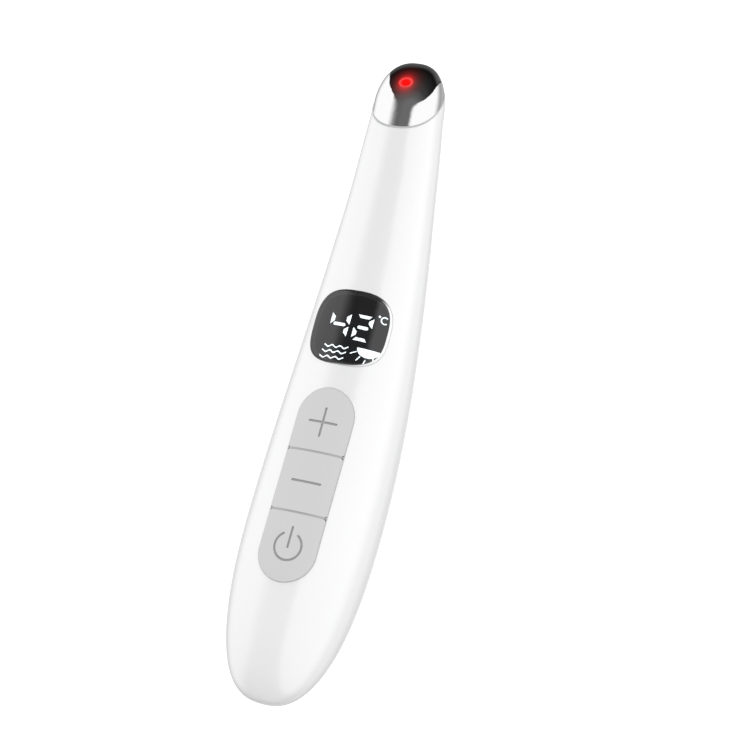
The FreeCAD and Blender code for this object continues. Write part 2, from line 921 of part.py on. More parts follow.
for key_name, (key_centre, _) in key_marks().items():
    nodes[key_name] = make_key(key_name)
    nodes[key_name.replace("key", "switch")] = make_switch(key_centre)
    nodes[key_name.replace("key", "plunger")] = make_plunger(key_centre)

os.makedirs("parts", exist_ok=True)
for name, shape in nodes.items():
    laid = shape.copy()
    laid.Placement = lay_down.multiply(laid.Placement)
    laid.exportStep("parts/" + name + ".step")
    print(name, len(laid.Solids), "valid" if laid.isValid() else "INVALID", round(laid.Volume, 2))

press = lay_down.Rotation.multVec(Vector(0, 0, -1))
motor_axis = lay_down.multiply(station(motor_at))
print("rest angle", round(rest_angle, 4))
print("press direction", press)
print("motor axis point", motor_axis.Base, "direction", motor_axis.Rotation.multVec(Vector(0, 1, 0)))
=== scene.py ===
import json
import math

import bmesh
import bpy
from mathutils import Matrix, Quaternion, Vector
from mathutils.bvhtree import BVHTree
from mathutils.geometry import intersect_point_line


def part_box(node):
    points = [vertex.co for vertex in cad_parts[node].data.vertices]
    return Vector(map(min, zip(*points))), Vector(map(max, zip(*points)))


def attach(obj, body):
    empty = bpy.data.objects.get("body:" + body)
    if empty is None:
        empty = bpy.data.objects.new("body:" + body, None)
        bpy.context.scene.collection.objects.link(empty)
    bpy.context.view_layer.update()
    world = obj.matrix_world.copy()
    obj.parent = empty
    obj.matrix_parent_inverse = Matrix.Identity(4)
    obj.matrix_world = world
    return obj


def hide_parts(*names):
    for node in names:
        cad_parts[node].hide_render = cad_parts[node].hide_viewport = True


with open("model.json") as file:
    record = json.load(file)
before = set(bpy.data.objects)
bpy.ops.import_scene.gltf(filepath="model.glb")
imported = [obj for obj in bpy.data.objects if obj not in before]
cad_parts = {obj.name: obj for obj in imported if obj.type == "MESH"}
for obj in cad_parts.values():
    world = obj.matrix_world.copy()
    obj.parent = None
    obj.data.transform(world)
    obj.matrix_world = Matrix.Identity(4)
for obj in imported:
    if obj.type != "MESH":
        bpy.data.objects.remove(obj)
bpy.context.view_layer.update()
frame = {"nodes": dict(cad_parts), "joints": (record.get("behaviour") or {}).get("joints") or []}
nodes = frame["nodes"]
mm = 0.001
print("frame loaded", len(nodes), "nodes")

# The wand's own directions: across it, along the handle towards the head, and out of the keys.
across = Vector((1, 0, 0))
pressJoint = next(j for j in frame["joints"] if j["name"] == "power_press")
outwards = -Vector(pressJoint["axis"]).normalized()
along = outwards.cross(across).normalized()

# The power key's plunger stands at a known place along the handle and above its centreline.
plungerPlace = (35.1 * mm, 7.55 * mm)
low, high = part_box("power_plunger")
wandOrigin = (low + high) / 2 - along * plungerPlace[0] - outwards * plungerPlace[1]
wandOrigin.x = 0
toWorld = Matrix.Translation(wandOrigin) @ Matrix((across, along, outwards)).transposed().to_4x4()

# Places along the handle of the two divisions between the keys, and how wide they are.
divisionPlaces = (43.2 * mm, 58.0 * mm)
divisionGap = 0.36 * mm

# How far above the handle's centreline surfaces are looked for, and how close points are merged.
lookFrom = 50 * mm
mergeDistance = 1e-7


def meshTree(*names):
    verts, faces = [], []
    for name in names:
        data = nodes[name].data
        faces += [[len(verts) + i for i in p.vertices] for p in data.polygons]
        verts += [v.co.copy() for v in data.vertices]
    return BVHTree.FromPolygons(verts, faces)


def surfaceHeight(tree, x, y):
    # Height of a surface above the handle's centreline, looking straight into the keys.
    hit = tree.ray_cast(toWorld @ Vector((x, y, lookFrom)), -outwards)[0]
    return None if hit is None else (hit - wandOrigin).dot(outwards)


def meshFrom(bm, name):
    mesh = bpy.data.meshes.new(name)
    bm.to_mesh(mesh)
    bm.free()
    return mesh


def finishPiece(bm, name, lookNames, body, smoothAngle=30):
    # Makes the piece from its bmesh, which lies in the wand's own directions.
    bmesh.ops.remove_doubles(bm, verts=bm.verts, dist=mergeDistance)
    bmesh.ops.recalc_face_normals(bm, faces=bm.faces)
    bmesh.ops.transform(bm, matrix=toWorld, verts=bm.verts)
    mesh = meshFrom(bm, name)
    for lookName in lookNames:
        mesh.materials.append(looks[lookName])
    mesh.shade_smooth()
    mesh.set_sharp_from_angle(angle=math.radians(smoothAngle))
    piece = bpy.data.objects.new(name, mesh)
    bpy.context.scene.collection.objects.link(piece)
    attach(piece, body)
    return piece


def shader(name, colour, roughness, **inputs):
    material = bpy.data.materials.new(name)
    material.use_nodes = True
    tree = material.node_tree
    principled = tree.nodes["Principled BSDF"]
    principled.inputs["Base Color"].default_value = (*colour, 1)
    principled.inputs["Roughness"].default_value = roughness
    for key, value in inputs.items():
        principled.inputs[key.replace("_", " ")].default_value = value
    return material, tree, principled


def bareMaterial(name):
    # Material with nothing but its output.
    material = bpy.data.materials.new(name)
    material.use_nodes = True
    tree = material.node_tree
    tree.nodes.remove(tree.nodes["Principled BSDF"])
    return material, tree


def coordinate(tree, kind="Object"):
    return tree.nodes.new("ShaderNodeTexCoord").outputs[kind]


def addMath(tree, operation, source, value=0.0):
    # Math node on a linked value and a fixed one.
    node = tree.nodes.new("ShaderNodeMath")
    node.operation = operation
    node.inputs[1].default_value = value
    tree.links.new(source, node.inputs[0])
    return node.outputs["Value"]


def addVectorMath(tree, operation, source, value=(0, 0, 0), output="Vector"):
    # Vector math node on a linked vector and a fixed one.
    node = tree.nodes.new("ShaderNodeVectorMath")
    node.operation = operation
    node.inputs[1].default_value = value
    tree.links.new(source, node.inputs[0])
    return node.outputs[output]


def addNoise(tree, scale, detail=3.0):
    noise = tree.nodes.new("ShaderNodeTexNoise")
    noise.inputs["Scale"].default_value = scale
    noise.inputs["Detail"].default_value = detail
    tree.links.new(coordinate(tree), noise.inputs["Vector"])
    return noise.outputs["Fac"]


def addSpread(tree, source, limits, results, target):
    # Spreads a value that runs between two limits so that it runs between two others.
    spread = tree.nodes.new("ShaderNodeMapRange")
    spread.inputs["From Min"].default_value = limits[0]
    spread.inputs["From Max"].default_value = limits[1]
    spread.inputs["To Min"].default_value = results[0]
    spread.inputs["To Max"].default_value = results[1]
    tree.links.new(source, spread.inputs["Value"])
    tree.links.new(spread.outputs["Result"], target)
    return spread


def addRamp(tree, source, stops, target, limits=(0, 1)):
    # Colours along a value that runs between two limits; each stop is a share of the way and its colour.
    ramp = tree.nodes.new("ShaderNodeValToRGB")
    elements = ramp.color_ramp.elements
    for place, colour in stops[2:]:
        elements.new(place)
    for element, (place, colour) in zip(elements, stops):
        element.position = place
        element.color = (*colour, 1)
    addSpread(tree, source, limits, (0, 1), ramp.inputs["Fac"])
    tree.links.new(ramp.outputs["Color"], target)


def greyStops(pairs):
    return [(place, (grey, grey, grey)) for place, grey in pairs]


def grainedShader(name, colour, limits, grain, **inputs):
    # Shader whose roughness varies between two limits with a fine grain.
    material, tree, principled = shader(name, colour, sum(limits) / 2, **inputs)
    addSpread(tree, addNoise(tree, grain), (0, 1), limits, principled.inputs["Roughness"])
    return material, tree, principled


grainLook = {
    "roughnessChange": 0.2,
    "bumpScale": 3,
    "bumpStrength": 0.4,
    "bumpDetail": 2.0,
}


def plainMaterial(name, colour, roughness, metallic=0, scale=1500, depth=0):
    # Surface with a fine grain in its gloss, and in its height where the grain has a depth.
    change = grainLook["roughnessChange"]
    limits = (roughness * (1 - change), roughness * (1 + change))
    material, tree, principled = grainedShader(name, colour, limits, scale, Metallic=metallic)
    if depth:
        noise = addNoise(tree, scale * grainLook["bumpScale"], grainLook["bumpDetail"])
        bump = tree.nodes.new("ShaderNodeBump")
        bump.inputs["Strength"].default_value = grainLook["bumpStrength"]
        bump.inputs["Distance"].default_value = depth
        tree.links.new(noise, bump.inputs["Height"])
        tree.links.new(bump.outputs["Normal"], principled.inputs["Normal"])
    return material


shellLook = {
    "colour": (0.86, 0.86, 0.863),
    "roughness": (0.31, 0.37),
    "grain": 260,
    "specular": 1.0,
    "coat": 1.0,
    "coatRoughness": 0.1,
    "coatIor": 1.8,
}


def shellMaterial():
    # White plastic with a clear gloss.
    return grainedShader(
        "glossy_white",
        shellLook["colour"],
        shellLook["roughness"],
        shellLook["grain"],
        Specular_IOR_Level=shellLook["specular"],
        Coat_Weight=shellLook["coat"],
        Coat_Roughness=shellLook["coatRoughness"],
        Coat_IOR=shellLook["coatIor"],
    )[0]


lampLook = {
    "chromeColour": (0.865, 0.865, 0.866),
    "chromeRoughness": (0.018, 0.042),
    "chromeGrain": 900,
    "windowColour": (0.02, 0.001, 0.001),
    "windowRoughness": 0.15,
    # The window's outer face: how squarely its parts face out of the head, and how deep its rim goes.
    "facing": 0.9,
    "rimDepth": 0.8 * mm,
    "windowSize": (1.7 * mm, 1.4 * mm, 3 * mm),
    # Sizes of the painted red glow on the chrome round the window.
    "paintedGlowSize": (1.7 * mm, 1.9 * mm, 3.4 * mm),
    # Colours from the window's centre outwards, as shares of the reach in these sizes.
    "reach": 2.9,
    # The lamp's red shining through the window, with a painted highlight ring near its edge.
    "window": [(0, (1.0, 0.002, 0.001)), (0.21, (0.95, 0.004, 0.003)), (0.27, (0.9, 0.05, 0.05)),
               (0.33, (0.85, 0.09, 0.09)), (0.36, (0.55, 0.02, 0.02))],
    # Painted red glow on the chrome round the window, standing in for the lamp's light falling on it.
    "glow": [(0, (0.6, 0.004, 0.003)), (0.33, (0.46, 0.006, 0.005)), (0.42, (0.25, 0.002, 0.002)),
             (0.51, (0.13, 0.001, 0.001)), (0.62, (0.06, 0.0005, 0.0005)), (0.76, (0.02, 0, 0)),
             (1.0, (0, 0, 0))],
}


def windowFrame():
    # Centre of the light window's outer face, with its last axis out of the head.
    data = nodes["light_window"].data
    reach = (outwards + along).normalized()
    normal = Vector()
    for face in data.polygons:
        if face.normal.dot(reach) > lampLook["facing"]:
            normal += face.normal * face.area
    normal.normalize()
    top = max(v.co.dot(normal) for v in data.vertices)
    rim = [v.co for v in data.vertices if v.co.dot(normal) > top - lampLook["rimDepth"]]
    centre = sum(rim, Vector()) / len(rim)
    up = normal.cross(across)
    return Matrix.Translation(centre) @ Matrix((across, up, normal)).transposed().to_4x4()


def addLampColour(tree, principled, stops, sizes):
    # Light that changes with the distance from the light window, measured in its sizes.
    mapping = tree.nodes.new("ShaderNodeMapping")
    mapping.vector_type = "TEXTURE"
    place = windowFrame()
    mapping.inputs["Location"].default_value = place.translation
    mapping.inputs["Rotation"].default_value = place.to_euler()
    mapping.inputs["Scale"].default_value = sizes
    tree.links.new(coordinate(tree), mapping.inputs["Vector"])
    distance = addVectorMath(tree, "LENGTH", mapping.outputs["Vector"], output="Value")
    addRamp(tree, distance, stops, principled.inputs["Emission Color"], (0, lampLook["reach"]))
    principled.inputs["Emission Strength"].default_value = 1


def chromeMaterial():
    # Polished plating with a painted red glow round the light window, standing in for the lamp's light
    # falling on it.
    look = (lampLook["chromeColour"], lampLook["chromeRoughness"], lampLook["chromeGrain"])
    material, tree, principled = grainedShader("chrome_plating", *look, Metallic=1)
    addLampColour(tree, principled, lampLook["glow"], lampLook["paintedGlowSize"])
    return material


def windowMaterial():
    # Red of the lamp shining through the window, with a painted highlight ring near its edge.
    look = (lampLook["windowColour"], lampLook["windowRoughness"])
    material, tree, principled = shader("lamp_window", *look)
    addLampColour(tree, principled, lampLook["window"], lampLook["windowSize"])
    return material


keyLook = {
    "colour": (0.61, 0.61, 0.615),
    # Colour of the painted shade along the keys' edges next to the divisions.
    "paintedShadeColour": (0.40, 0.40, 0.405),
    # How far from a division's side the painted shade ends.
    "paintedShadeWidth": 0.16 * mm,
    "roughness": 0.5,
    "grain": 1800,
    "grainDepth": 0.006 * mm,
}


def keyMaterial():
    # Satin grey with painted shade along the edges next to the divisions.
    grain = (keyLook["grain"], keyLook["grainDepth"])
    material = plainMaterial("satin_grey", keyLook["colour"], keyLook["roughness"], 0, *grain)
    tree = material.node_tree
    place = addVectorMath(tree, "DOT_PRODUCT", coordinate(tree), along, "Value")
    nearest = tree.nodes.new("ShaderNodeMath")
    nearest.operation = "MINIMUM"
    for i, division in enumerate(divisionPlaces):
        difference = addMath(tree, "SUBTRACT", place, wandOrigin.dot(along) + division)
        tree.links.new(addMath(tree, "ABSOLUTE", difference), nearest.inputs[i])
    stops = [(0, keyLook["paintedShadeColour"]), (1, keyLook["colour"])]
    limits = (divisionGap / 2, divisionGap / 2 + keyLook["paintedShadeWidth"])
    baseColour = tree.nodes["Principled BSDF"].inputs["Base Color"]
    addRamp(tree, nearest.outputs["Value"], stops, baseColour, limits)
    return material


lensLook = {
    "colour": (0.008, 0.008, 0.009),
    "alpha": 0.85,
    "roughness": (0.04, 0.09),
    "coatRoughness": 0.03,
    "rimRoughness": (0.1, 0.2),
    "grain": 500,
    # The rim's painted shading, from dark where it stands square to the lit side to a painted highlight where
    # it faces it; the lit side lies across and towards the keys.
    "paintedLightSide": (0.9, -0.44),
    "rimPaintedShading": [(0, (0.02, 0.02, 0.022)), (0.25, (0.06, 0.06, 0.062)), (0.5, (0.9, 0.9, 0.905))],
}


def lensMaterial():
    # Smoked lens that lets the lit signs through.
    inputs = {"Alpha": lensLook["alpha"], "Coat_Weight": 1, "Coat_Roughness": lensLook["coatRoughness"]}
    look = (lensLook["colour"], lensLook["roughness"], lensLook["grain"])
    return grainedShader("smoked_lens", *look, **inputs)[0]


def rimMaterial():
    # Clear edge of the lens, with a painted highlight where it faces right and painted shade where it faces
    # left.
    colours = lensLook["rimPaintedShading"]
    look = (colours[-1][1], lensLook["rimRoughness"], lensLook["grain"])
    material, tree, principled = grainedShader("lens_rim", *look)
    side = (across * lensLook["paintedLightSide"][0] + along * lensLook["paintedLightSide"][1]).normalized()
    facing = addVectorMath(tree, "DOT_PRODUCT", coordinate(tree, "Normal"), side, "Value")
    addRamp(tree, facing, colours, principled.inputs["Base Color"])
    return material


glowLook = {
    "roughness": 0.3,
    "change": 0.1,
    "grain": 700,
}


def glowMaterial(name, colour, strength):
    # Lit surface whose brightness varies a little.
    material, tree, principled = shader(name, colour, glowLook["roughness"])
    principled.inputs["Emission Color"].default_value = (*colour, 1)
    results = (strength * (1 - glowLook["change"]), strength * (1 + glowLook["change"]))
    noise = addNoise(tree, glowLook["grain"])
    addSpread(tree, noise, (0, 1), results, principled.inputs["Emission Strength"])
    return material


# Plain materials: colour, roughness, how metallic, and where they differ the grain's scale and depth.
plainLooks = {
    # The marks' grey is partly painted shade of their recesses.
    "mark_grey_and_painted_shade": ((0.36, 0.36, 0.365), 0.6, 0, 1800, 0.006 * mm),
    "web_grey": ((0.56, 0.56, 0.565), 0.6, 0, 1800),
    # The divisions' grey, darker than the web's, is partly painted shade of the gaps.
    "groove_grey_and_painted_shade": ((0.43, 0.43, 0.435), 0.6, 0, 1800),
    "zinc_steel": ((0.6, 0.6, 0.62), 0.32, 1),
    "board_green": ((0.015, 0.13, 0.05), 0.4),
    "chip_black": ((0.02, 0.02, 0.02), 0.5),
    "dark_rubber": ((0.03, 0.03, 0.032), 0.7, 0, 1500, 0.01 * mm),
    "seal_grey": ((0.5, 0.5, 0.505), 0.5),
    "film_black": ((0.006, 0.006, 0.007), 0.4),
    "display_white": ((0.75, 0.76, 0.78), 0.5),
    "battery_foil": ((0.7, 0.71, 0.73), 0.38, 1, 1500, 0.01 * mm),
    "amber_film": ((0.5, 0.2, 0.03), 0.35),
    "wire_red": ((0.5, 0.02, 0.015), 0.45),
    "cable_white": ((0.75, 0.75, 0.75), 0.5),
}

# Lit materials: colour and strength.
glowLooks = {
    "sign_glow": ((0.88, 0.97, 1.0), 9),
    "lamp_red": ((1.0, 0.003, 0.0), 1.15),
}

# The part's nodes by their material.
lookNodes = {
    "glossy_white": ("front_shell", "back_shell"),
    "chrome_plating": ("massage_head",),
    "satin_grey": ("power_key", "minus_key", "plus_key"),
    "lamp_window": ("light_window",),
    "lamp_red": ("red_lamp",),
    "smoked_lens": ("display_lens",),
    "seal_grey": ("head_seal",),
    "board_green": ("lamp_board", "main_board", "socket_board"),
    "amber_film": ("heating_film", "thermistor"),
    "film_black": ("display_film",),
    "display_white": ("display_block", "power_plunger", "minus_plunger", "plus_plunger"),
    "chip_black": ("control_chip", "charge_chip", "socket_tongue", "power_switch", "minus_switch",
                   "plus_switch"),
    "zinc_steel": ("board_screws", "shell_screws", "socket_screws", "charge_socket", "vibration_motor",
                   "motor_shaft", "motor_weight"),
    "battery_foil": ("battery",),
    "dark_rubber": ("battery_pad", "motor_sleeve"),
    "wire_red": ("battery_leads", "socket_leads", "motor_leads"),
    "cable_white": ("head_cable",),
}

looks = {name: plainMaterial(name, *look) for name, look in plainLooks.items()}
looks.update({name: glowMaterial(name, *look) for name, look in glowLooks.items()})
for make in (shellMaterial, chromeMaterial, keyMaterial, lensMaterial, rimMaterial, windowMaterial):
    material = make()
    looks[material.name] = material

for lookName, nodeNames in lookNodes.items():
    for nodeName in nodeNames:
        nodes[nodeName].data.materials.clear()
        nodes[nodeName].data.materials.append(looks[lookName])
print("materials assigned")


def cutGrid(bm, spacing):
    # Cuts the flat shape into a fine grid, so that it can follow a curved surface.
    for axis in (0, 1):
        values = [v.co[axis] for v in bm.verts]
        place = (math.floor(min(values) / spacing) + 1) * spacing
        normal = Vector((1, 0, 0)) if axis == 0 else Vector((0, 1, 0))
        while place < max(values):
            geometry = bm.verts[:] + bm.edges[:] + bm.faces[:]
            bmesh.ops.bisect_plane(
                bm, geom=geometry, dist=mergeDistance, plane_co=normal * place, plane_no=normal
            )
            place += spacing


def addWall(bm, depth):
    # Extrudes the open edge straight down and closes the bottom.
    rim = [e for e in bm.edges if e.is_boundary]
    made = bmesh.ops.extrude_edge_only(bm, edges=rim)["geom"]
    verts = [g for g in made if isinstance(g, bmesh.types.BMVert)]
    bmesh.ops.translate(bm, verts=verts, vec=(0, 0, -depth))
    bmesh.ops.holes_fill(bm, edges=[e for e in bm.edges if e.is_boundary])


def longBar(bm, start, end, width, tip, sides):
    # Flat bar between two points, whose round ends reach out by the tip.
    start, end = Vector((*start, 0)), Vector((*end, 0))
    run = end - start
    turn = Matrix.Translation(start) @ Matrix.Rotation(math.atan2(run.y, run.x), 4, "Z")
    quarter = Matrix.Rotation(math.radians(90), 4, "Z")
    made = bmesh.ops.create_circle(bm, cap_ends=True, segments=sides, radius=1, matrix=quarter)
    widest = max(v.co.y for v in made["verts"])
    nearMiddle = 1e-4  # points no further than this from the circle's middle line stay at the start
    for vert in made["verts"]:
        shift = run.length if vert.co.x > nearMiddle else 0
        vert.co = turn @ Vector((shift + vert.co.x * tip, vert.co.y / widest * width / 2, 0))


def arcBand(bm, centre, radius, width, start, end, steps):
    # Flat band round a centre, from one angle to another in degrees.
    turn = Matrix.Rotation(math.radians(start), 3, "Z")
    middle = Vector((*centre, 0))
    ends = [bm.verts.new(middle + turn @ Vector((radius + side * width / 2, 0, 0))) for side in (-1, 1)]
    edge = bm.edges.new(ends)
    bmesh.ops.spin(
        bm, geom=ends + [edge], cent=middle, axis=(0, 0, 1), angle=math.radians(end - start), steps=steps
    )


lensSizes = {
    "centre": 88.6 * mm,
    "halfWidth": 9.72 * mm,
    "halfLength": 9.07 * mm,
    "power": 3.0,
    "sides": 120,
    "rim": 0.42 * mm,
    "rimSteps": 5,
    "depth": 0.55 * mm,
    "grid": 0.8 * mm,
    # The lens takes its height from the plain one a little inside its own outline.
    "inside": 0.97,
    "smoothAngle": 50,
}


def makeLens():
    # Smoked lens with a rounded clear rim, in place of the plain one.
    tree = meshTree("display_lens")
    centre, radius, steps = lensSizes["centre"], lensSizes["rim"], lensSizes["rimSteps"]
    bm = bmesh.new()
    made = bmesh.ops.create_circle(bm, cap_ends=True, segments=lensSizes["sides"], radius=1)
    for vert in made["verts"]:
        share = [math.copysign(abs(vert.co[i]) ** (2 / lensSizes["power"]), vert.co[i]) for i in (0, 1)]
        vert.co = (lensSizes["halfWidth"] * share[0], centre + lensSizes["halfLength"] * share[1], 0)
    top = bm.faces[:][0]
    for vert in top.verts:
        vert.co.z = -radius
    done = 0
    for i in range(1, steps + 1):
        angle = math.radians(90 * i / steps)
        reach = radius * (1 - math.cos(angle))
        bmesh.ops.inset_region(
            bm, faces=[top], thickness=reach - done, use_boundary=True, use_even_offset=True
        )
        for vert in top.verts:
            vert.co.z = radius * (math.sin(angle) - 1)
        done = reach
    for face in bm.faces:
        face.material_index = 0 if face == top else 1
    cutGrid(bm, lensSizes["grid"])
    for vert in bm.verts:
        inside = lensSizes["inside"]
        vert.co.z += surfaceHeight(tree, vert.co.x * inside, centre + (vert.co.y - centre) * inside)
    addWall(bm, lensSizes["depth"])
    lens = finishPiece(bm, "lens", ["smoked_lens", "lens_rim"], "wand", lensSizes["smoothAngle"])
    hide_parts("display_lens")


# The lit signs, in millimetres across and along from the display's centre.
signSizes = {
    "lift": 0.02,
    "grid": 0.5,
    # Where a sign reaches past the film below it, its height is taken this much closer in at each try.
    "closer": 0.98,
    "stroke": 1.0,
    "levelStroke": 0.76,
    "slant": 0.8,
    # The digits' bars: both ends, and the side with the shorter edge, which is 1 on the left of the run,
    # -1 on its right and 0 for a bar pointed at both ends.
    "digits": [
        ((-4.78, 3.34), (-4.82, 0.68), 1), ((-4.50, 0.82), (-1.20, 0.66), 0),
        ((-0.72, 3.48), (-0.80, 0.92), -1), ((-0.82, 0.42), (-0.92, -2.00), -1),
        ((1.45, 3.36), (4.75, 3.36), -1), ((4.86, 3.34), (4.80, 0.98), -1), ((1.75, 0.74), (4.55, 0.68), 0),
        ((1.42, 0.50), (1.36, -1.90), 1), ((1.42, -2.12), (4.75, -2.16), 1),
    ],
    # Place and radius of the degree dot; place, radius and stroke of the open ring, and its angles.
    "degree": (6.37, 4.25, 0.27),
    "degreeSides": 16,
    "unit": (7.68, 3.58, 0.80, 0.30),
    "unitAngles": (50, 310),
    "unitSteps": 18,
    "waveRows": (-4.72, -6.03, -7.45),
    "waveReach": (-5.35, 0.95),
    "waveShift": -0.3,
    "waveCount": 3,
    "waveSteps": 40,
    "waveHeight": 0.24,
    "waveStroke": 0.34,
    # The half disc's place, half width and depth.
    "halfDisc": ((5.76, -4.08), 2.70, 2.10),
    "discSides": 48,
    "rays": [
        ((1.73, -5.77), (3.05, -5.10)), ((3.51, -7.16), (4.21, -6.09)), ((5.35, -7.60), (5.60, -6.75)),
        ((7.50, -6.60), (7.20, -5.95)), ((8.55, -5.25), (8.05, -4.90)),
    ],
    "rayStroke": 0.28,
    "rayTip": 0.1,
    "raySides": 12,
}


def addDigits(bm):
    for start, end, side in signSizes["digits"]:
        start, end = Vector((*start, 0)), Vector((*end, 0))
        run = (end - start).normalized()
        half = (signSizes["levelStroke"] if abs(run.x) > abs(run.y) else signSizes["stroke"]) / 2
        left, short = Vector((-run.y, run.x, 0)) * half, run * half * 2 * signSizes["slant"]
        if side == 0:
            middle = [end - short / 2, start + short / 2]
            corners = [start, middle[1] - left, middle[0] - left, end, middle[0] + left, middle[1] + left]
        else:
            inner = left * side
            corners = [start - inner, end - inner, end - short + inner, start + short + inner]
        bm.faces.new([bm.verts.new(c) for c in corners])


def addUnit(bm):
    # Degree dot and the open ring beside it.
    x, y, radius = signSizes["degree"]
    place = Matrix.Translation((x, y, 0))
    sides = signSizes["degreeSides"]
    bmesh.ops.create_circle(bm, cap_ends=True, segments=sides, radius=radius, matrix=place)
    x, y, radius, stroke = signSizes["unit"]
    arcBand(bm, (x, y), radius, stroke, *signSizes["unitAngles"], signSizes["unitSteps"])


def addWaves(bm):
    start, end = signSizes["waveReach"]
    half, steps = signSizes["waveStroke"] / 2, signSizes["waveSteps"]
    for row, middle in enumerate(signSizes["waveRows"]):
        left = start + signSizes["waveShift"] * row
        places = []
        for i in range(steps + 1):
            share = i / steps
            height = signSizes["waveHeight"] * math.cos(2 * math.pi * signSizes["waveCount"] * share)
            places.append((left + (end - start) * share, middle + height))
        ends = [bm.verts.new((places[0][0], places[0][1] + side * half, 0)) for side in (-1, 1)]
        edges = [bm.edges.new(ends)]
        for before, after in zip(places, places[1:]):
            made = bmesh.ops.extrude_edge_only(bm, edges=edges)["geom"]
            verts = [g for g in made if isinstance(g, bmesh.types.BMVert)]
            edges = [g for g in made if isinstance(g, bmesh.types.BMEdge) and set(g.verts) <= set(verts)]
            bmesh.ops.translate(bm, verts=verts, vec=(after[0] - before[0], after[1] - before[1], 0))


def addHalfDisc(bm):
    # Half disc with its flat side up, and the rays below it.
    (x, y), half, depth = signSizes["halfDisc"]
    made = bmesh.ops.create_circle(bm, cap_ends=True, segments=signSizes["discSides"], radius=half)
    bmesh.ops.scale(bm, verts=made["verts"], vec=(1, depth / half, 1))
    geometry = bm.verts[:] + bm.edges[:] + bm.faces[:]
    bmesh.ops.bisect_plane(bm, geom=geometry, plane_co=(0, 0, 0), plane_no=(0, 1, 0), clear_outer=True)
    bmesh.ops.translate(bm, verts=bm.verts, vec=(x, y, 0))
    for start, end in signSizes["rays"]:
        longBar(bm, start, end, signSizes["rayStroke"], signSizes["rayTip"], signSizes["raySides"])


def makeSigns():
    tree = meshTree("display_film")
    centre = lensSizes["centre"]
    signs = {"digits": addDigits, "unit": addUnit, "waves": addWaves, "half_disc": addHalfDisc}
    for name, add in signs.items():
        bm = bmesh.new()
        add(bm)
        bmesh.ops.scale(bm, vec=(mm, mm, mm), verts=bm.verts)
        bmesh.ops.translate(bm, vec=(0, centre, 0), verts=bm.verts)
        cutGrid(bm, signSizes["grid"] * mm)
        for vert in bm.verts:
            reach = vert.co - Vector((0, centre, 0))
            film = None
            while film is None:
                film = surfaceHeight(tree, reach.x, reach.y + centre)
                reach *= signSizes["closer"]
            vert.co.z = film + signSizes["lift"] * mm
        finishPiece(bm, name, ["sign_glow"], "wand")


keySizes = {
    "halfWidth": 7.0 * mm,
    "low": 26.8 * mm,
    "high": 73.5 * mm,
    "proud": 0.25 * mm,
    # How far to the side of a gap the keys' height is taken.
    "beside": 0.5 * mm,
    "webWidth": 0.18 * mm,
    "webInset": 0.01 * mm,
    "webSunk": 0.06 * mm,
    "webDepth": 0.5 * mm,
    "webSides": 96,
    "divisionSunk": 0.10 * mm,
    "divisionSteps": 16,
    "grid": 0.9 * mm,
}


def keyTopHeight(tree, x, y):
    # Height of the keys' tops, taken beside the place where it lies over a gap.
    beside = keySizes["beside"]
    middle = min(max(y, keySizes["low"] + keySizes["halfWidth"]), keySizes["high"] - keySizes["halfWidth"])
    inward = Vector((-x, middle - y)).normalized() * beside
    places = [(x + dx, y + dy + step) for dx, dy in ((0, 0), inward) for step in (0, beside, -beside)]
    hits = [surfaceHeight(tree, *place) for place in places]
    return max(h for h in hits if h is not None)


def makeWeb():
    # Soft web that fills the gap round the keys.
    tree = meshTree("power_key", "minus_key", "plus_key")
    width = keySizes["webWidth"]
    radius = keySizes["halfWidth"] + keySizes["webInset"] + width
    rise = keySizes["high"] - keySizes["low"] - 2 * keySizes["halfWidth"]
    bm = bmesh.new()
    made = bmesh.ops.create_circle(bm, cap_ends=True, segments=keySizes["webSides"], radius=radius)
    for vert in made["verts"]:
        vert.co.y += rise / 2 if vert.co.y > 0 else -rise / 2
    inner = bm.faces[:]
    bmesh.ops.inset_region(bm, faces=inner, thickness=width, use_boundary=True, use_even_offset=True)
    bmesh.ops.delete(bm, geom=inner, context="FACES")
    bmesh.ops.translate(bm, vec=(0, (keySizes["low"] + keySizes["high"]) / 2, 0), verts=bm.verts)
    cutGrid(bm, keySizes["grid"])
    for vert in bm.verts:
        vert.co.z = keyTopHeight(tree, vert.co.x, vert.co.y) - keySizes["proud"] - keySizes["webSunk"]
    addWall(bm, keySizes["webDepth"])
    finishPiece(bm, "key_web", ["web_grey"], "wand")


def makeDivisions():
    # Strips of web in the two gaps between the keys, in a darker grey than the web round them that is partly
    # painted shade of the gaps.
    tree = meshTree("power_key", "minus_key", "plus_key")
    size = (keySizes["halfWidth"], divisionGap / 2 - keySizes["webInset"], 1)
    for i, place in enumerate(divisionPlaces):
        bm = bmesh.new()
        bmesh.ops.create_grid(bm, x_segments=keySizes["divisionSteps"], y_segments=1, size=1)
        bmesh.ops.scale(bm, verts=bm.verts, vec=size)
        bmesh.ops.translate(bm, verts=bm.verts, vec=(0, place, 0))
        for vert in bm.verts:
            vert.co.z = keyTopHeight(tree, vert.co.x, vert.co.y) - keySizes["divisionSunk"]
        addWall(bm, keySizes["webDepth"])
        finishPiece(bm, "division_web_" + str(i + 1), ["groove_grey_and_painted_shade"], "wand")


# The keys' marks, in millimetres across and along the handle.
markSizes = {
    "width": 0.51,
    "lift": 0.05,
    "depth": 0.03,
    "sides": 16,
    # Place of the plus and the minus, and their half lengths.
    "plus": (65.2, 3.35),
    "minus": (50.6, 3.5),
    # Place and radius of the power ring, half its gap in degrees, and both ends of its bar.
    "power": (35.1, 3.3, 33),
    "powerSteps": 48,
    "powerBar": (34.9, 39.6),
}


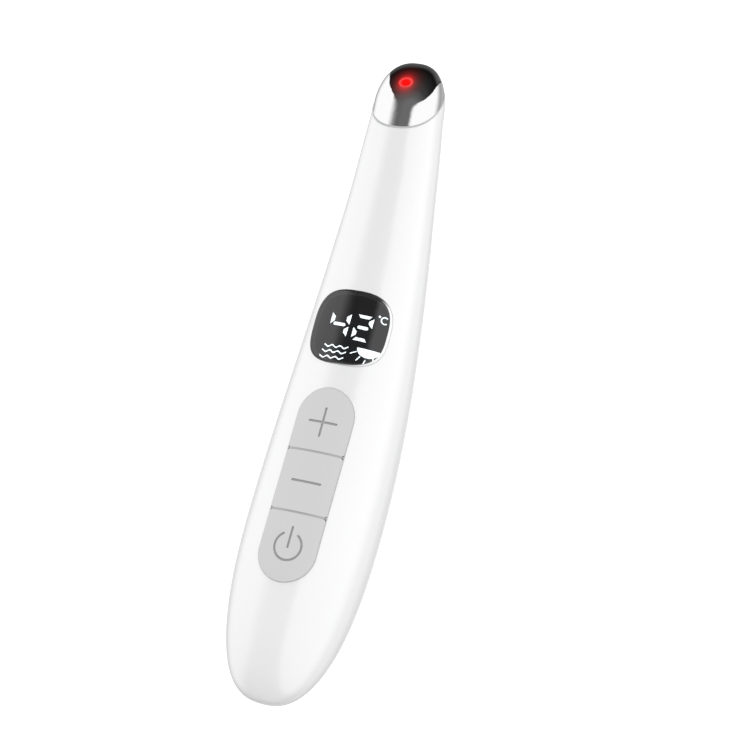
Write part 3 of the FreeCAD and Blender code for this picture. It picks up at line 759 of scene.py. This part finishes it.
def makeMarks():
    # Dark grey inlays on the floors of the keys' marks; their darkness is partly the marks' own grey and
    # partly painted shade of the recesses.
    width, sides = markSizes["width"], markSizes["sides"]
    for name in ("plus", "minus", "power"):
        bm = bmesh.new()
        if name == "power":
            y, radius, gap = markSizes["power"]
            arcBand(bm, (0, y), radius, width, 90 + gap, 450 - gap, markSizes["powerSteps"])
            longBar(bm, *[(0, place) for place in markSizes["powerBar"]], width, width / 2, sides)
        else:
            y, reach = markSizes[name]
            longBar(bm, (-reach, y), (reach, y), width, width / 2, sides)
            if name == "plus":
                longBar(bm, (0, y + width / 2), (0, y + reach), width, width / 2, sides)
                longBar(bm, (0, y - width / 2), (0, y - reach), width, width / 2, sides)
        bmesh.ops.scale(bm, vec=(mm, mm, mm), verts=bm.verts)
        cutGrid(bm, keySizes["grid"])
        tree = meshTree(name + "_key")
        for vert in bm.verts:
            vert.co.z = surfaceHeight(tree, vert.co.x, vert.co.y) + markSizes["lift"] * mm
        addWall(bm, markSizes["depth"] * mm)
        finishPiece(bm, name + "_mark", ["mark_grey_and_painted_shade"], name + "_button")


makeLens()
makeSigns()
makeWeb()
makeDivisions()
makeMarks()
print("lens, signs, web and marks made")


def addStage(bm, name, material, hiddenFrom):
    # Makes a piece of the studio, hidden from some kinds of light ray.
    mesh = meshFrom(bm, name)
    mesh.materials.append(material)
    piece = bpy.data.objects.new(name, mesh)
    for sight in hiddenFrom:
        setattr(piece, "visible_" + sight, False)
    bpy.context.scene.collection.objects.link(piece)
    return piece


floorSizes = {
    "side": 3.0,
    "drop": 0.1 * mm,
    "colour": (0.92, 0.92, 0.92),
    "roughness": 0.8,
    "grain": 20,
    "glow": 0.45,
}


def makeFloor():
    bm = bmesh.new()
    bmesh.ops.create_grid(bm, x_segments=1, y_segments=1, size=floorSizes["side"] / 2)
    look = (floorSizes["colour"], floorSizes["roughness"], 0, floorSizes["grain"])
    material = plainMaterial("floor_white", *look)
    principled = material.node_tree.nodes["Principled BSDF"]
    principled.inputs["Specular IOR Level"].default_value = 0
    principled.inputs["Emission Color"].default_value = (1, 1, 1, 1)
    principled.inputs["Emission Strength"].default_value = floorSizes["glow"]
    floor = addStage(bm, "floor", material, ("glossy", "diffuse"))
    floor.location.z = -floorSizes["drop"]


skySizes = {
    "strength": 1.12,
    # Shares of that strength by height, from straight down at 0 to level at 1.
    "shares": [(0.08, 0.32), (0.16, 0.46), (0.26, 0.42), (0.36, 0.34), (0.50, 0.42), (0.65, 0.64),
               (0.80, 0.87), (0.98, 1.0)],
    # Brighter spot of the grey below, which lights the wand's edges: its direction, share and the
    # cosines between which it grows.
    "gleamTowards": Vector((-0.361, 0.117, -0.925)).normalized(),
    "gleam": 0.42,
    "gleamReach": (0.82, 0.99),
}


def makeSky():
    # White all round above the floor, and grey below it, for the wand's reflections.
    world = bpy.data.worlds.new("studio")
    world.use_nodes = True
    tree = world.node_tree
    background = tree.nodes["Background"]
    background.inputs["Strength"].default_value = skySizes["strength"]
    both = tree.nodes.new("ShaderNodeVectorMath")
    both.operation = "ADD"
    direction = coordinate(tree, "Generated")
    height = addVectorMath(tree, "DOT_PRODUCT", direction, (0, 0, 1), "Value")
    addRamp(tree, height, greyStops(skySizes["shares"]), both.inputs[0], (-1, 0))
    nearness = addVectorMath(tree, "DOT_PRODUCT", direction, skySizes["gleamTowards"], "Value")
    spread = addSpread(tree, nearness, skySizes["gleamReach"], (0, skySizes["gleam"]), both.inputs[1])
    spread.interpolation_type = "SMOOTHSTEP"
    tree.links.new(both.outputs["Vector"], background.inputs["Color"])
    world.cycles.sampling_method = "NONE"
    bpy.context.scene.world = world


domeSizes = {
    "radius": 1.0,
    "fineness": 4,
    "level": 1.16,
    "slope": Vector((0.055, 0.34, -0.17)),
}


def makeDome():
    # Soft light all round, which only matt surfaces see; it is brighter towards the slope.
    bm = bmesh.new()
    bmesh.ops.create_icosphere(bm, subdivisions=domeSizes["fineness"], radius=domeSizes["radius"])
    material, tree = bareMaterial("dome_white")
    emission = tree.nodes.new("ShaderNodeEmission")
    slope = domeSizes["slope"] / domeSizes["radius"]
    rise = addVectorMath(tree, "DOT_PRODUCT", coordinate(tree), slope, "Value")
    tree.links.new(addMath(tree, "ADD", rise, domeSizes["level"]), emission.inputs["Strength"])
    tree.links.new(emission.outputs["Emission"], tree.nodes["Material Output"].inputs["Surface"])
    material.cycles.emission_sampling = "NONE"
    addStage(bm, "dome", material, ("camera", "glossy", "transmission", "shadow"))


flagSizes = {
    "centre": Vector((0, 0.075, 0.022)),
    "radius": 0.28,
    "cuts": 30,
    # Directions from the head round the dark flag's edge, from low beyond the head to low under the handle.
    "left": [(-0.50, 0.60, -0.80), (-0.64, 0.53, -0.56), (-0.76, 0.63, -0.17), (-0.77, 0.60, 0.23),
             (-0.67, 0.53, 0.52), (-0.58, 0.41, 0.72), (-0.59, 0.24, 0.80), (-0.60, 0.11, 0.80),
             (-0.62, 0, 0.80), (-0.63, -0.2, 0.75), (-0.60, -0.6, 0.56), (-0.60, -0.9, 0.05),
             (-0.60, -0.8, -0.45)],
    "right": [(0.24, 0.56, -0.79), (0.65, 0.70, -0.29), (0.74, 0.61, 0.27), (0.63, 0.44, 0.64),
              (0.43, 0.26, 0.87), (0.24, 0.10, 0.97), (0.12, 0.01, 1), (0.08, -0.05, 1), (0.06, -0.2, 0.98),
              (0.05, -0.4, 0.9), (0.12, -0.6, 0.76), (0.32, -0.9, 0.05), (0.40, -0.8, -0.45)],
    # How wide each soft side is beyond the head and over the handle, and where it changes.
    "soft": {"left": (0.02, 0.30), "right": (0.02, 0.14)},
    "softens": (0.5, 0.0),
    # How much it hides over the handle's lower end, and where it thins out.
    "lowCover": 0.65,
    "thins": (-0.1, -0.4),
    # How wide the black edge beyond the head is, and its share of the light.
    "darkEdge": 0.13,
    "darkest": 0.1,
    "colours": [(-0.75, 0.16), (-0.45, 0.10), (-0.2, 0.05), (-0.08, 0.012), (0.0, 0.006), (0.1, 0.009),
                (0.25, 0.013), (0.5, 0.022), (0.75, 0.05), (0.9, 0.11), (0.97, 0.16)],
}


def flagMaterial():
    # Black at the horizon, dark grey above and below it, and see-through at its border.
    material, tree = bareMaterial("flag_grey")
    emission = tree.nodes.new("ShaderNodeEmission")
    clear = tree.nodes.new("ShaderNodeBsdfTransparent")
    mix = tree.nodes.new("ShaderNodeMixShader")
    cover, shade = [tree.nodes.new("ShaderNodeAttribute") for i in range(2)]
    cover.attribute_name = "cover"
    shade.attribute_name = "shade"
    fromHead = addVectorMath(tree, "SUBTRACT", coordinate(tree), flagSizes["centre"])
    direction = addVectorMath(tree, "NORMALIZE", fromHead)
    height = addVectorMath(tree, "DOT_PRODUCT", direction, (0, 0, 1), "Value")
    lowest, highest = flagSizes["colours"][0][0], flagSizes["colours"][-1][0]
    stops = greyStops([((place - lowest) / (highest - lowest), grey) for place, grey in flagSizes["colours"]])
    addRamp(tree, height, stops, emission.inputs["Color"], (lowest, highest))
    tree.links.new(shade.outputs["Fac"], emission.inputs["Strength"])
    tree.links.new(cover.outputs["Fac"], mix.inputs[0])
    tree.links.new(clear.outputs["BSDF"], mix.inputs[1])
    tree.links.new(emission.outputs["Emission"], mix.inputs[2])
    tree.links.new(mix.outputs["Shader"], tree.nodes["Material Output"].inputs["Surface"])
    return material


def edgeDistance(point, line):
    distances = []
    for start, end in zip(line, line[1:]):
        spot, place = intersect_point_line(point, start, end)
        spot = start if place < 0 else end if place > 1 else spot
        distances.append((point - spot).length)
    return min(distances)


def smoothShare(value, start, end):
    # Runs softly from 0 to 1 as the value goes from start to end.
    part = min(max((value - start) / (end - start), 0), 1)
    return part * part * (3 - 2 * part)


def makeFlag():
    # A dark flag that only reflections see: wide beyond the head, and a narrow strip over the handle.
    bm = bmesh.new()
    cover, shade = [bm.verts.layers.float.new(name) for name in ("cover", "shade")]
    sides = {name: [Vector(d).normalized() for d in flagSizes[name]] for name in ("left", "right")}
    rows = [[bm.verts.new(d) for d in side] for side in sides.values()]
    for left, right, nextLeft, nextRight in zip(rows[0], rows[1], rows[0][1:], rows[1][1:]):
        bm.faces.new((left, nextLeft, nextRight, right))
    bmesh.ops.subdivide_edges(bm, edges=bm.edges, cuts=flagSizes["cuts"], use_grid_fill=True)
    darkest = flagSizes["darkest"]
    for vert in bm.verts:
        over = smoothShare(vert.co.y, *flagSizes["softens"])
        vert[cover] = 1 - (1 - flagSizes["lowCover"]) * smoothShare(vert.co.y, *flagSizes["thins"])
        vert[shade] = 1
        for name, line in sides.items():
            near = edgeDistance(vert.co, line)
            sharp, soft = flagSizes["soft"][name]
            vert[cover] *= smoothShare(near, 0, sharp + (soft - sharp) * over)
            dark = darkest + (1 - darkest) * smoothShare(near, 0, flagSizes["darkEdge"])
            vert[shade] *= over + (1 - over) * dark
        vert.co = flagSizes["centre"] + vert.co.normalized() * flagSizes["radius"]
    addStage(bm, "flag", flagMaterial(), ("camera", "diffuse", "shadow", "transmission"))


cameraView = {
    "aim": Vector((0, 0.00428, 0.01039)),
    "azimuth": 71.99,
    "elevation": 67.67,
    "roll": -60.24,
    "distance": 0.48,
    "lens": 98.6,
    "shiftX": 0.0174,
    "shiftY": 0.0363,
}


def makeCamera():
    # Camera at the angle from which the wand's keys and head are seen.
    azimuth, elevation = math.radians(cameraView["azimuth"]), math.radians(cameraView["elevation"])
    level = math.cos(elevation)
    back = Vector((math.sin(azimuth) * level, -math.cos(azimuth) * level, math.sin(elevation)))
    data = bpy.data.cameras.new("camera")
    data.lens = cameraView["lens"]
    data.shift_x = cameraView["shiftX"]
    data.shift_y = cameraView["shiftY"]
    camera = bpy.data.objects.new("camera", data)
    camera.location = cameraView["aim"] + back * cameraView["distance"]
    camera.rotation_mode = "QUATERNION"
    roll = Quaternion((0, 0, 1), math.radians(cameraView["roll"]))
    camera.rotation_quaternion = (-back).to_track_quat("-Z", "Y") @ roll
    bpy.context.scene.collection.objects.link(camera)
    bpy.context.scene.camera = camera


bpy.context.scene.view_settings.view_transform = "Standard"
makeFloor()
makeSky()
makeDome()
makeFlag()
makeCamera()
print("stage made")
